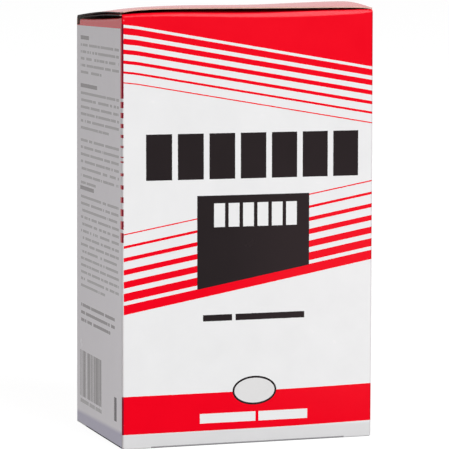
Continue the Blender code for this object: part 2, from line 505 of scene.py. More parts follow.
@dataclass
class CartonBoard:
    """The folded board: one sleeve of four panels, with four flaps at each end."""

    form: CartonForm = field(default_factory=CartonForm)
    long_columns: int = 56
    side_columns: int = 32
    corner_steps: int = 8
    panel_rows: int = 72
    last_row: float = 0.002
    fold_steps: int = 12
    top_flap_rows: int = 44
    base_flap_rows: int = 24
    row_crowding: float = 1.5
    sharp_angle: float = math.radians(40)
    # How far from the front the end cut edges keep the plain cut edge's colour, without painted
    # shade.
    unshaded_edge_reach: float = 4.5

    def build(self) -> bpy.types.Object:
        """Builds the board with its thickness.

        Returns:
            The board's object, at the origin, with one material index for each surface.
        """
        sheet = self._folded_sheet()
        board = bpy.data.objects.new("carton_board", sheet)
        bpy.context.scene.collection.objects.link(board)
        outer_faces = len(sheet.polygons)
        thickness = board.modifiers.new("thickness", "SOLIDIFY")
        thickness.thickness = self.form.board * MM
        thickness.offset = -1.0
        thickness.use_even_offset = False
        graph = bpy.context.evaluated_depsgraph_get()
        board.data = bpy.data.meshes.new_from_object(board.evaluated_get(graph))
        board.modifiers.clear()
        board.data.name = "carton_board"
        bpy.data.meshes.remove(sheet)
        for index, face in enumerate(board.data.polygons):
            if index >= 2 * outer_faces:
                face.material_index = self._edge_surface(face).value
            elif index >= outer_faces:
                face.material_index = Surface.INSIDE.value
        board.data.shade_smooth()
        board.data.set_sharp_from_angle(angle=self.sharp_angle)
        return board

    def _edge_surface(self, face: bpy.types.MeshPolygon) -> Surface:
        """Names the surface of a face on the board's cut edge.

        Args:
            face: the face.

        Returns:
            Its surface.
        """
        if face.center.z < self.form.height / 2 * MM:
            return Surface.BASE_EDGE
        at_end = abs(face.normal.x) > abs(face.normal.y)
        # Away from the front corner, the end cut edges take a near-black painted shade.
        worn = face.center.y < (self.unshaded_edge_reach - self.form.depth / 2) * MM
        return Surface.END_EDGE if at_end and not worn else Surface.CUT_EDGE

    def _folded_sheet(self) -> bpy.types.Mesh:
        """Extrudes the sleeve up from its base line, then folds the flaps in at both ends.

        Returns:
            The outer surface, which has no thickness yet.
        """
        form = self.form
        plan = form.plan(self.long_columns, self.side_columns, self.corner_steps)
        low = [form.wall_base(point.x, point.y) for point in plan]
        high = [form.wall_top(point.x, point.y) for point in plan]
        bm = bmesh.new()
        base_line = [
            bm.verts.new(form.wall_point(point, height) * MM) for point, height in zip(plan, low)
        ]
        for pair in zip(base_line, base_line[1:] + base_line[:1]):
            bm.edges.new(pair)
        surfaces = [self._wall_surface(plan, column) for column in range(len(plan))]
        line = base_line
        shares = [row / self.panel_rows for row in range(1, self.panel_rows)]
        for share in (*shares, 1.0 - self.last_row, 1.0):

            def on_wall(column: int) -> Vector:
                """Gives the place of a vertex of the new row."""
                height = low[column] + (high[column] - low[column]) * share
                return form.wall_point(plan[column], height)

            line = self._extrude_line(bm, line, on_wall, surfaces, closed=True)
        self._fold_flaps(bm, plan, line, base_line)
        bmesh.ops.recalc_face_normals(bm, faces=bm.faces)
        mesh = bpy.data.meshes.new("folded_sheet")
        bm.to_mesh(mesh)
        bm.free()
        return mesh

    def _wall_surface(self, plan: Sequence[PlanPoint], column: int) -> Surface:
        """Names the surface of the wall from one column of the plan to the next.

        Args:
            plan: the sleeve's plan.
            column: the first of the two columns.

        Returns:
            The surface.
        """
        here, following = plan[column].panel, plan[(column + 1) % len(plan)].panel
        if here == following and here in ("front", "right", "back", "left"):
            return Surface[here.upper()]
        if "front_left" in (here, following):
            return Surface.FRONT_FOLD
        return Surface.RIGHT_FOLD if "front_right" in (here, following) else Surface.BACK_FOLD

    def _fold_flaps(
        self,
        bm: bmesh.types.BMesh,
        plan: Sequence[PlanPoint],
        top_line: Sequence[bmesh.types.BMVert],
        base_line: Sequence[bmesh.types.BMVert],
    ) -> None:
        """Folds in the four flaps of each end.

        Args:
            bm: the mesh being built.
            plan: the sleeve's plan.
            top_line: the wall's upper vertices, one for each point of the plan.
            base_line: the wall's lower vertices.
        """
        form = self.form
        outer, tucked = Surface.OUTER_FLAP, Surface.TUCKED_FLAP
        round_fold = Fold(form.fold_radius)
        crease = Fold(form.crease_reach, form.crease_bevel)
        inner_size = (form.inner_flap, form.inner_taper)
        outer_size = (form.outer_flap, form.outer_taper)
        flaps = [
            Flap("front", (0, 1), *inner_size, form.inner_flap_top, 1, tucked),
            Flap("back", (0, -1), *outer_size, form.outer_flap_top, 0, outer),
        ]
        for panel, side in (("left", -1), ("right", 1)):
            top = partial(form.dust_flap_top, side=side)
            flaps.append(Flap(panel, (-side, 0), form.dust_flap, form.dust_taper, top, 2, tucked))
        for flap in flaps:
            columns = self._hinge_columns(plan, flap)
            hinge = [top_line[index] for index in columns if self._hangs(flap, plan[index])]
            fold = crease if flap.panel == "front" else round_fold
            self._fold_flap(bm, hinge, flap, fold, flap.top, flap.surface, self.top_flap_rows)
            hinge = [base_line[index] for index in columns]
            fold = Fold(flap.base_radius(form), relief=form.base_relief)
            level = partial(form.base_level, flap=flap)
            self._fold_flap(bm, hinge, flap, fold, level, Surface.BASE, self.base_flap_rows)

    def _hinge_columns(self, plan: Sequence[PlanPoint], flap: Flap) -> list[int]:
        """Lists the columns that a flap hangs on, on a long one with half of each corner's fold.

        Args:
            plan: the sleeve's plan.
            flap: the flap.

        Returns:
            Indices into the plan, in its order.
        """
        on_panel = [index for index, point in enumerate(plan) if point.panel == flap.panel]
        if flap.inward[0]:
            return on_panel
        share = range(1, self.corner_steps // 2 + 1)
        before = [(on_panel[0] - step) % len(plan) for step in reversed(share)]
        return before + on_panel + [(on_panel[-1] + step) % len(plan) for step in share]

    def _hangs(self, flap: Flap, point: PlanPoint) -> bool:
        """Says whether a top flap hangs on a point of its panel, clear of its relief cuts.

        Args:
            flap: the flap.
            point: a point of the plan.

        Returns:
            Whether the flap starts there.
        """
        form = self.form
        clear = abs(point.y) < form.flat_y - form.relief(point.x, point.y) + form.cut_margin
        return clear or flap.panel in ("front", "back")

    def _fold_flap(
        self,
        bm: bmesh.types.BMesh,
        hinge: Sequence[bmesh.types.BMVert],
        flap: Flap,
        fold: Fold,
        height_at: Height,
        surface: Surface,
        rows: int,
    ) -> None:
        """Folds one flap in from its hinge and lays it on a surface.

        Args:
            bm: the mesh being built.
            hinge: the vertices that the flap hangs on.
            flap: its length, its taper and the way it folds.
            fold: the shape of the fold.
            height_at: the outer height of the flap at a place.
            surface: the material it takes.
            rows: how many rows the flat part is divided into.
        """
        starts = [vert.co * METRES_TO_MM for vert in hinge]
        middle = (starts[0] + starts[-1]) / 2
        half_width = (starts[-1] - starts[0]).length / 2
        surfaces = [surface] * len(starts)

        def plan_at(column: int, reach: float) -> tuple[float, float]:
            """Gives the place, seen from above, at a reach from the hinge.

            Args:
                column: the column of the hinge.
                reach: how far in from the hinge.

            Returns:
                Its x and y.
            """
            cut_in = flap.taper * reach / flap.length + fold.relief * min(1.0, reach)
            narrower = 1 - cut_in / half_width
            x, y = (middle + (starts[column] - middle) * narrower).to_2d()
            return x + flap.inward[0] * reach, y + flap.inward[1] * reach

        line = hinge
        for step in range(1, self.fold_steps + 1):
            reached, risen = fold.at(step / self.fold_steps)

            def on_fold(column: int) -> Vector:
                """Gives the place of a vertex on the fold.

                Args:
                    column: the column of the hinge.

                Returns:
                    The place in millimetres.
                """
                level = height_at(*plan_at(column, fold.reach))
                rise = (level - starts[column].z) * risen
                return Vector((*plan_at(column, fold.reach * reached), starts[column].z + rise))

            line = self._extrude_line(bm, line, on_fold, surfaces)
        for row in range(1, rows + 1):
            along = (row / rows) ** self.row_crowding
            reach = fold.reach + (flap.length - fold.reach) * along

            def on_flap(column: int) -> Vector:
                """Gives the place of a vertex on the flat part."""
                x, y = plan_at(column, reach)
                return Vector((x, y, height_at(x, y)))

            line = self._extrude_line(bm, line, on_flap, surfaces)

    @staticmethod
    def _extrude_line(
        bm: bmesh.types.BMesh,
        line: Sequence[bmesh.types.BMVert],
        place: Callable[[int], Vector],
        surfaces: Sequence[Surface],
        closed: bool = False,
    ) -> list[bmesh.types.BMVert]:
        """Extrudes a line of vertices once and places the new ones.

        Args:
            bm: the mesh being built.
            line: the vertices to extrude, in order.
            place: gives each new vertex's place in millimetres, from its column.
            surfaces: the surface of the new face that starts at each column.
            closed: whether the line runs back to its start.

        Returns:
            The new vertices, in the same order.
        """
        line = list(line)
        ends = line[1:] + line[:1] if closed else line[1:]
        edges = [bm.edges.get(pair) for pair in zip(line, ends)]
        made = bmesh.ops.extrude_edge_only(bm, edges=edges)["geom"]
        new = {item for item in made if isinstance(item, bmesh.types.BMVert)}
        following = []
        for column, vert in enumerate(line):
            twin = next(e.other_vert(vert) for e in vert.link_edges if e.other_vert(vert) in new)
            twin.co = place(column) * MM
            following.append(twin)
        for column, surface in enumerate(surfaces[: len(edges)]):
            after = (column + 1) % len(line)
            corners = (line[column], line[after], following[after], following[column])
            bm.faces.get(corners).material_index = surface.value
        return following


class Ramp(NamedTuple):
    """A smooth rise from 0 at its start to its full height at its end."""

    start: float
    end: float
    rise: float = 1.0


SOFT_CONTRAST = Ramp(0.3, 0.7)


class Nodes:
    """A tree of nodes, with short calls for the ones that a material or the sky needs."""

    def __init__(self, tree: bpy.types.NodeTree) -> None:
        """Takes the tree that the nodes go into."""
        self.nodes = tree.nodes
        self.links = tree.links

    def feed(self, socket: Socket, value: Value | Colour) -> None:
        """Links a socket, or sets its value.

        Args:
            socket: the input.
            value: an output to link, a number, or a colour.
        """
        if isinstance(value, bpy.types.NodeSocket):
            self.links.new(value, socket)
        elif isinstance(value, tuple):
            socket.default_value = (*value, 1.0) if socket.type == "RGBA" else value
        else:
            socket.default_value = value

    def add(self, kind: str, **inputs: Value) -> bpy.types.Node:
        """Adds a node and feeds its inputs.

        Args:
            kind: the node's type.
            **inputs: values by the input's name, with _ for each space.

        Returns:
            The node.
        """
        node = self.nodes.new(kind)
        for name, value in inputs.items():
            self.feed(node.inputs[name.replace("_", " ")], value)
        return node

    def math(self, operation: str, *values: Value) -> Socket:
        """Adds a Math node.

        Args:
            operation: what it does.
            *values: its inputs in order.

        Returns:
            Its output.
        """
        node = self.add("ShaderNodeMath")
        node.operation = operation
        for socket, value in zip(node.inputs, values):
            self.feed(socket, value)
        return node.outputs[0]

    def ramp(self, value: Value, ramp: Ramp) -> Socket:
        """Adds a smooth rise from 0 at a ramp's start to its full height at its end.

        Args:
            value: what rises.
            ramp: the start, the end and the height.

        Returns:
            The risen value.
        """
        node = self.add("ShaderNodeMapRange", Value=value, From_Min=ramp.start, From_Max=ramp.end)
        node.inputs["To Max"].default_value = ramp.rise
        node.interpolation_type = "SMOOTHSTEP"
        return node.outputs["Result"]


class NodeSheet(Nodes):
    """A material's nodes, with short calls for what the print and the board need.

    The sheet's u and v are the panel's own axes in millimetres, u across it and v up it.
    """

    def __init__(self, name: str, across: str = "X", mirrored: bool = False) -> None:
        """Starts a material and its coordinates.

        Args:
            name: the material's name.
            across: the axis that runs across the panel, X or Y.
            mirrored: whether u runs against that axis.
        """
        self.material = bpy.data.materials.new(name)
        self.material.use_nodes = True
        super().__init__(self.material.node_tree)
        self.shader = self.nodes["Principled BSDF"]
        self.place = self.add("ShaderNodeTexCoord").outputs["Object"]
        split = self.add("ShaderNodeSeparateXYZ", Vector=self.place)
        scale = -METRES_TO_MM if mirrored else METRES_TO_MM
        self.u = self.math("MULTIPLY", split.outputs[across], scale)
        self.v = self.math("MULTIPLY", split.outputs["Z"], METRES_TO_MM)
        self.back = self.math("MULTIPLY", split.outputs["Y"], METRES_TO_MM)

    def shade(self, **inputs: Value | Colour) -> None:
        """Feeds the shader's inputs, which are named with _ for each space."""
        for name, value in inputs.items():
            self.feed(self.shader.inputs[name.replace("_", " ")], value)

    def within(self, value: Value, low: float, high: float) -> Socket:
        """Gives 1 where a value lies from low to high, and 0 elsewhere."""
        return self.math("COMPARE", value, (low + high) / 2, (high - low) / 2)

    def both(self, *masks: Value) -> Socket:
        """Gives 1 where all the masks are 1."""
        return reduce(partial(self.math, "MULTIPLY"), masks)

    def either(self, *masks: Value) -> Socket:
        """Gives 1 where any of the masks is 1."""
        return reduce(partial(self.math, "MAXIMUM"), masks)

    def mix(
        self,
        factor: Value,
        first: Socket | Colour,
        second: Socket | Colour,
        blend: str = "MIX",
    ) -> Socket:
        """Mixes two colours by a factor, or blends them in another way.

        Args:
            factor: 0 for the first, 1 for the second.
            first: a colour.
            second: another colour.
            blend: the way of blending.

        Returns:
            The mixed colour.
        """
        node = self.add("ShaderNodeMix")
        node.data_type = "RGBA"
        node.blend_type = blend
        for index, value in ((0, factor), (6, first), (7, second)):
            self.feed(node.inputs[index], value)
        return node.outputs[2]

    def brighten(self, colour: Socket | Colour, by: Socket) -> Socket:
        """Multiplies a colour by a number.

        Args:
            colour: the colour.
            by: the number.

        Returns:
            The brighter colour.
        """
        node = self.add("ShaderNodeVectorMath")
        node.operation = "SCALE"
        self.feed(node.inputs[0], colour)
        self.feed(node.inputs["Scale"], by)
        return node.outputs[0]

    def noise(self, grain: float, detail: float = 2.0, place: Socket | None = None) -> Socket:
        """Adds a noise whose grains are about the given size in millimetres.

        Args:
            grain: size of one grain in millimetres.
            detail: how many finer layers it has.
            place: where it is read, or None for the object's own coordinates.

        Returns:
            The noise, from 0 to 1 around a half.
        """
        node = self.add("ShaderNodeTexNoise", Scale=METRES_TO_MM / grain, Detail=detail)
        self.feed(node.inputs["Vector"], place or self.place)
        return node.outputs["Fac"]

    def span(self, value: Value, low: float, high: float) -> Socket:
        """Stretches a noise or mask of 0 to 1 so that it runs from low to high."""
        return self.math("MULTIPLY_ADD", value, high - low, low)

    def off_centre(
        self, up: Socket, centre: tuple[float, float], reach: tuple[float, float]
    ) -> Socket:
        """Measures how far a place lies from an ellipse's centre.

        Args:
            up: the coordinate that goes with u.
            centre: the ellipse's centre.
            reach: its two half widths.

        Returns:
            The squared distance, which is 1 on the ellipse.
        """
        across = self.math("DIVIDE", self.math("SUBTRACT", self.u, centre[0]), reach[0])
        along = self.math("DIVIDE", self.math("SUBTRACT", up, centre[1]), reach[1])
        return self.math("MULTIPLY_ADD", along, along, self.math("MULTIPLY", across, across))

    def bump(self, height: Socket, strength: float, distance: float) -> None:
        """Puts a bump of a real height, in millimetres, on the shader."""
        node = self.add("ShaderNodeBump", Strength=strength, Distance=distance * MM, Height=height)
        self.shade(Normal=node.outputs["Normal"])


class Motif(Protocol):
    """A printed shape that can say where it lies."""

    def mask(self, sheet: NodeSheet) -> Socket:
        """Gives 1 where the shape is printed."""


@dataclass(frozen=True)
class Block:
    """A plain rectangle."""

    left: float
    right: float
    low: float
    high: float

    def mask(self, sheet: NodeSheet) -> Socket:
        """Gives 1 inside the rectangle."""
        across = sheet.within(sheet.u, self.left, self.right)
        return sheet.both(across, sheet.within(sheet.v, self.low, self.high))


@dataclass(frozen=True)
class Slant:
    """A line that rises or falls across the panel, with one end bent down or up a little."""

    slope: float
    bend_start: float = -44.0
    bend_reach: float = 5.0
    bend_drop: float = 0.0

    def height(self, sheet: NodeSheet) -> Socket:
        """Gives v less the line's rise, which is level along each slanted line.

        Args:
            sheet: the material's nodes.

        Returns:
            The level in millimetres.
        """
        level = sheet.math("MULTIPLY_ADD", sheet.u, -self.slope, sheet.v)
        if not self.bend_drop:
            return level
        bend = sheet.ramp(sheet.u, Ramp(self.bend_start, self.bend_start - self.bend_reach))
        return sheet.math("MULTIPLY_ADD", bend, self.bend_drop, level)


@dataclass(frozen=True)
class Band:
    """A band between two heights along a slanted or bent line, or all that lies above one."""

    slant: Slant
    low: float
    high: float = FAR

    def mask(self, sheet: NodeSheet) -> Socket:
        """Gives 1 inside the band."""
        return sheet.within(self.slant.height(sheet), self.low, self.high)


@dataclass(frozen=True)
class Stripes:
    """Parallel stripes counted downwards, each wider or narrower than the last."""

    slant: Slant
    first: float
    pitch: float
    width: float
    widening: float
    count: int

    def mask(self, sheet: NodeSheet) -> Socket:
        """Marks the stripes.

        Args:
            sheet: the material's nodes.

        Returns:
            1 on the stripes, 0 elsewhere.
        """
        level = self.slant.height(sheet)
        steps = sheet.math("MULTIPLY_ADD", level, -1 / self.pitch, self.first / self.pitch)
        index = sheet.math("ROUND", steps)
        index = sheet.math("MINIMUM", sheet.math("MAXIMUM", index, 0.0), self.count - 1.0)
        from_first = sheet.math("MULTIPLY_ADD", index, self.pitch, level)
        distance = sheet.math("ABSOLUTE", sheet.math("SUBTRACT", from_first, self.first))
        half_width = sheet.math("MULTIPLY_ADD", index, self.widening / 2, self.width / 2)
        return sheet.math("LESS_THAN", distance, half_width)


@dataclass(frozen=True)
class SlabRow:
    """A row of equal plain slabs, which holds the place of words."""

    left: float
    right: float
    low: float
    high: float
    count: int
    gap: float

    def mask(self, sheet: NodeSheet) -> Socket:
        """Marks the slabs.

        Args:
            sheet: the material's nodes.

        Returns:
            1 on the slabs, 0 elsewhere.
        """
        pitch = (self.right - self.left + self.gap) / self.count
        steps = sheet.math("MULTIPLY_ADD", sheet.u, 1 / pitch, -self.left / pitch)
        on_slab = sheet.math("LESS_THAN", sheet.math("FRACT", steps), 1 - self.gap / pitch)
        return sheet.both(on_slab, Block(self.left, self.right, self.low, self.high).mask(sheet))


@dataclass(frozen=True)
class Oval:
    """A plain ellipse."""

    u: float
    v: float
    width: float
    height: float

    def mask(self, sheet: NodeSheet) -> Socket:
        """Gives 1 inside the ellipse."""
        reach = (self.width / 2, self.height / 2)
        return sheet.math("LESS_THAN", sheet.off_centre(sheet.v, (self.u, self.v), reach), 1.0)


@dataclass(frozen=True)
class RubbedCorner:
    """A corner of a flap that is rubbed through to the board, seen from above."""

    x: float
    y: float
    reach_x: float
    reach_y: float
    grain: float = 1.2
    raggedness: tuple[float, float] = (0.5, 1.5)

    def mask(self, sheet: NodeSheet) -> Socket:
        """Marks the rubbed patch, whose edge is ragged.

        Args:
            sheet: the material's nodes.

        Returns:
            1 inside the patch, 0 elsewhere.
        """
        square = sheet.off_centre(sheet.back, (self.x, self.y), (self.reach_x, self.reach_y))
        ragged = sheet.span(sheet.noise(self.grain, detail=3.0), *self.raggedness)
        return sheet.math("LESS_THAN", square, ragged)


@dataclass(frozen=True)
class ContactShadowLine:
    """A painted shadow: the dark line on a base fold, along the stretch that stays clear of the
    floor.
    """

    left: float
    right: float
    front: float
    back: float
    high: float = 0.8
    low: float = -1.0

    def mask(self, sheet: NodeSheet) -> Socket:
        """Gives 1 on the painted shadow line."""
        along = sheet.within(sheet.back, self.front, self.back)
        return sheet.both(along, Block(self.left, self.right, self.low, self.high).mask(sheet))


@dataclass(frozen=True)
class WordLines:
    """Lines of small plain dashes, which hold the place of a block of small print."""

    start: float
    end: float
    last_end: float
    first: float
    pitch: float
    count: int
    height: float
    dash: float = 3.2
    gaps: float = 0.40
    seed: float = 0.0
    line_step: float = 7.3

    def mask(self, sheet: NodeSheet) -> Socket:
        """Marks the dashes.

        Args:
            sheet: the material's nodes.

        Returns:
            1 on the dashes, 0 elsewhere.
        """
        steps = sheet.math("MULTIPLY_ADD", sheet.v, -1 / self.pitch, self.first / self.pitch)
        line = sheet.math("ROUND", steps)
        off_line = sheet.math("ABSOLUTE", sheet.math("SUBTRACT", steps, line))
        on_line = sheet.math("LESS_THAN", off_line, self.height / 2 / self.pitch)
        in_block = sheet.within(line, -HALF_STEP, self.count - HALF_STEP)
        last = sheet.math("GREATER_THAN", line, self.count - 1 - HALF_STEP)
        end = sheet.span(last, self.end, self.last_end)
        reached = sheet.math("LESS_THAN", sheet.u, end)
        begun = sheet.math("GREATER_THAN", sheet.u, self.start)
        along = sheet.math("MULTIPLY", sheet.u, 1 / self.dash)
        down = sheet.math("MULTIPLY_ADD", line, self.line_step, self.seed)
        spot = sheet.add("ShaderNodeCombineXYZ", X=along, Y=down)
        words = sheet.noise(METRES_TO_MM, detail=1.0, place=spot.outputs[0])
        on_word = sheet.math("GREATER_THAN", words, self.gaps)
        return sheet.both(on_line, in_block, reached, begun, on_word)


@dataclass(frozen=True)
class BarGroup:
    """Upright bars of a few widths, with no digits."""

    left: float
    right: float
    low: float
    high: float
    module: float
    cover: float = 0.5
    seed: float = 3.0

    def mask(self, sheet: NodeSheet) -> Socket:
        """Marks the bars.

        Args:
            sheet: the material's nodes.

        Returns:
            1 on the bars, 0 elsewhere.
        """
        module = sheet.math("FLOOR", sheet.math("MULTIPLY", sheet.u, 1 / self.module))
        chance = sheet.add("ShaderNodeTexWhiteNoise")
        chance.noise_dimensions = "1D"
        sheet.feed(chance.inputs["W"], sheet.math("ADD", module, self.seed))
        on_bar = sheet.math("LESS_THAN", chance.outputs["Value"], self.cover)
        return sheet.both(on_bar, Block(self.left, self.right, self.low, self.high).mask(sheet))


@dataclass(frozen=True)
class Cropped:
    """A motif that is only printed inside another one."""

    motif: Motif
    inside: Motif

    def mask(self, sheet: NodeSheet) -> Socket:
        """Gives 1 where both are."""
        return sheet.both(self.motif.mask(sheet), self.inside.mask(sheet))


@dataclass(frozen=True)
class Ink:
    """A printing ink, or a painted shade laid like one: its colour and how smooth it leaves the
    surface.
    """

    colour: Colour
    roughness: float = 0.36


@dataclass(frozen=True)
class Impression:
    """One ink and the motifs that it prints."""

    ink: Ink
    motifs: tuple[Motif, ...]


RED = Ink((0.88, 0.0003, 0.012), 0.25)
RUBBED = Ink((0.80, 0.62, 0.52), 0.4)
BLACK = Ink((0.019, 0.0155, 0.0165), 0.22)
DARK_GREY = Ink((0.30, 0.285, 0.29), 0.25)
# The printed mark's grey, also the colour of a painted shadow line on the base.
MARK_AND_SHADOW_GREY = Ink((0.03, 0.03, 0.04), 0.25)
# The colour of the painted shadow along the front's base.
CONTACT_SHADOW_GREY = Ink((0.38, 0.375, 0.39), 0.3)
SOFT_GREY = Ink((0.47, 0.455, 0.46), 0.25)
PALE_GREY = Ink((0.74, 0.735, 0.735), 0.25)
BARE = Ink((0.825, 0.825, 0.83), 0.26)
SIDE = Ink((0.83, 0.80, 0.835), 0.26)
# Darker copies of the red and of the bare board: painted shade on the corner folds.
SHADED_EDGE_RED = Ink((0.60, 0.002, 0.012), 0.3)
SHADED_FOLD_RED = Ink((0.26, 0.004, 0.022), 0.3)
SHADED_FOLD_BARE = Ink((0.70, 0.68, 0.69), 0.3)

FALLING = Slant(-0.1730, bend_start=-42.0, bend_reach=7.0, bend_drop=0.3)
RISING = Slant(0.1805)
LEVEL = Slant(0.0)


@dataclass(frozen=True)
class FrontPrint:
    """The front's design: a red field, two sets of slanted stripes, a black panel and a band."""

    field_edge: float = 148.7
    upper: Stripes = Stripes(FALLING, 146.43, 3.77, 2.45, -0.40, 6)
    lower: Stripes = Stripes(RISING, 88.6, 4.66, 0.47, 0.507, 7)
    panel: Cropped = Cropped(Block(-20.25, 23.67, 0.0, 93.43), Band(RISING, 62.2))
    band: Band = Band(Slant(0.0, 0.0, -90.0, -1.18), 5.5, 19.7)
    # A painted shadow along the front's foot, next to the floor.
    contact_shadow_line: Block = Block(-38.0, 38.0, -1.0, 0.65)
    title: SlabRow = SlabRow(-39.85, 43.16, 99.5, 116.5, 7, 2.2)
    panel_title: SlabRow = SlabRow(-13.72, 18.75, 81.65, 90.5, 6, 1.4)
    small_line: tuple[Block, ...] = (
        Block(-18.0, -6.65, 46.6, 49.0),
        Block(-5.3, 21.9, 46.6, 49.0),
    )
    band_line: tuple[Block, ...] = (Block(-19.1, 2.7, 8.3, 11.9), Block(3.9, 23.3, 8.3, 11.9))
    swatch: Oval = Oval(2.27, 19.9, 17.3, 10.9)
    swatch_line: float = 0.75

    def impressions(self) -> tuple[Impression, ...]:
        """Sorts the print by its inks.

        Returns:
            The inks in the order in which they are laid.
        """
        outer, line = self.swatch, self.swatch_line
        inner = replace(outer, width=outer.width - 2 * line, height=outer.height - 2 * line)
        return (
            Impression(RED, (*self.ground(), self.band)),
            Impression(BLACK, (self.panel, self.title, *self.small_line, outer)),
            Impression(BARE, (self.panel_title, *self.band_line)),
            Impression(PALE_GREY, (inner,)),
            # The painted shadow along the foot.
            Impression(CONTACT_SHADOW_GREY, (self.contact_shadow_line,)),
        )

    def ground(self) -> tuple[Motif, ...]:
        """Lists the red field and stripes, which the back has too."""
        return Band(FALLING, self.field_edge), self.upper, self.lower


@dataclass(frozen=True)
class FoldPrint:
    """The stripes of the neighbouring print that show along the front left fold."""

    field: Band = Band(LEVEL, 129.8)
    upper: Stripes = Stripes(LEVEL, 127.5, 3.83, 2.35, -0.38, 6)
    lower: Stripes = Stripes(LEVEL, 106.6, 4.65, 0.6, 0.5, 7)
    strip: Block = Block(29.6, 40.0, 60.0, 180.0)

    def motifs(self) -> tuple[Motif, ...]:
        """Lists the motifs that run over the fold."""
        return self.field, self.upper, self.lower

    def on_side(self) -> tuple[Motif, ...]:
        """Lists the same motifs, cut to the narrow strip that shows on the side panel."""
        return tuple(Cropped(motif, self.strip) for motif in self.motifs())


@dataclass(frozen=True)
class LeftPrint:
    """The left side: a red top band, blocks of small print as dashes, and a group of bars."""

    band: Band = Band(Slant(0.0125), 154.9)
    fold: FoldPrint = FoldPrint()
    heads: tuple[WordLines, ...] = (
        WordLines(-25.5, -13.7, -13.7, 150.1, 4.0, 1, 1.5, gaps=0.30, seed=1.0),
        WordLines(-25.7, -2.1, -2.1, 131.8, 4.0, 1, 1.5, gaps=0.30, seed=2.0),
        WordLines(-26.4, -6.6, -6.6, 92.5, 4.0, 1, 1.5, gaps=0.30, seed=3.0),
        WordLines(-25.5, 22.0, 16.0, 47.1, 2.9, 3, 1.2, gaps=0.36, seed=4.0),
    )
    bodies: tuple[WordLines, ...] = (
        WordLines(-25.5, 27.5, 4.0, 147.3, 2.6, 5, 1.0, seed=11.0),
        WordLines(-25.5, 27.5, 14.0, 128.9, 2.66, 6, 1.0, seed=12.0),
        WordLines(-25.5, 27.5, -4.0, 110.85, 2.72, 7, 1.0, seed=13.0),
        WordLines(-25.5, 27.5, 9.0, 89.1, 2.645, 14, 1.0, seed=14.0),
        WordLines(-26.5, 4.5, 4.5, 9.6, 3.0, 1, 1.5, gaps=0.42, seed=15.0),
    )
    bars: tuple[BarGroup, ...] = (
        BarGroup(-27.3, -18.0, 11.3, 29.3, 0.33, 0.5),
        BarGroup(-16.6, 3.8, 11.3, 29.3, 0.33, 0.66, seed=40.0),
    )
    mark: Block = Block(21.2, 24.4, 9.2, 18.2)

    def impressions(self) -> tuple[Impression, ...]:
        """Sorts the print by its inks.

        Returns:
            The inks in the order in which they are laid.
        """
        return (
            Impression(RED, (self.band, *self.fold.on_side())),
            Impression(SOFT_GREY, self.bodies),
            Impression(DARK_GREY, (*self.heads, *self.bars)),
            Impression(MARK_AND_SHADOW_GREY, (self.mark,)),
        )


@dataclass(frozen=True)
class Foot:
    """Painted shade: a darkened strip next to the floor, whose upper edge may rise across the
    panel.
    """

    shade: Colour = (0.85, 0.845, 0.85)
    slope: float = 0.0
    fade: Ramp = Ramp(6.6, 4.4)

    def mask(self, sheet: NodeSheet) -> Socket:
        """Gives 1 in the painted shade at the foot and 0 above it."""
        return sheet.ramp(Slant(self.slope).height(sheet), self.fade)


# The left side's painted shade next to the floor: darker and bluer.
SIDE_FOOT = Foot((0.56, 0.555, 0.70), 0.022)


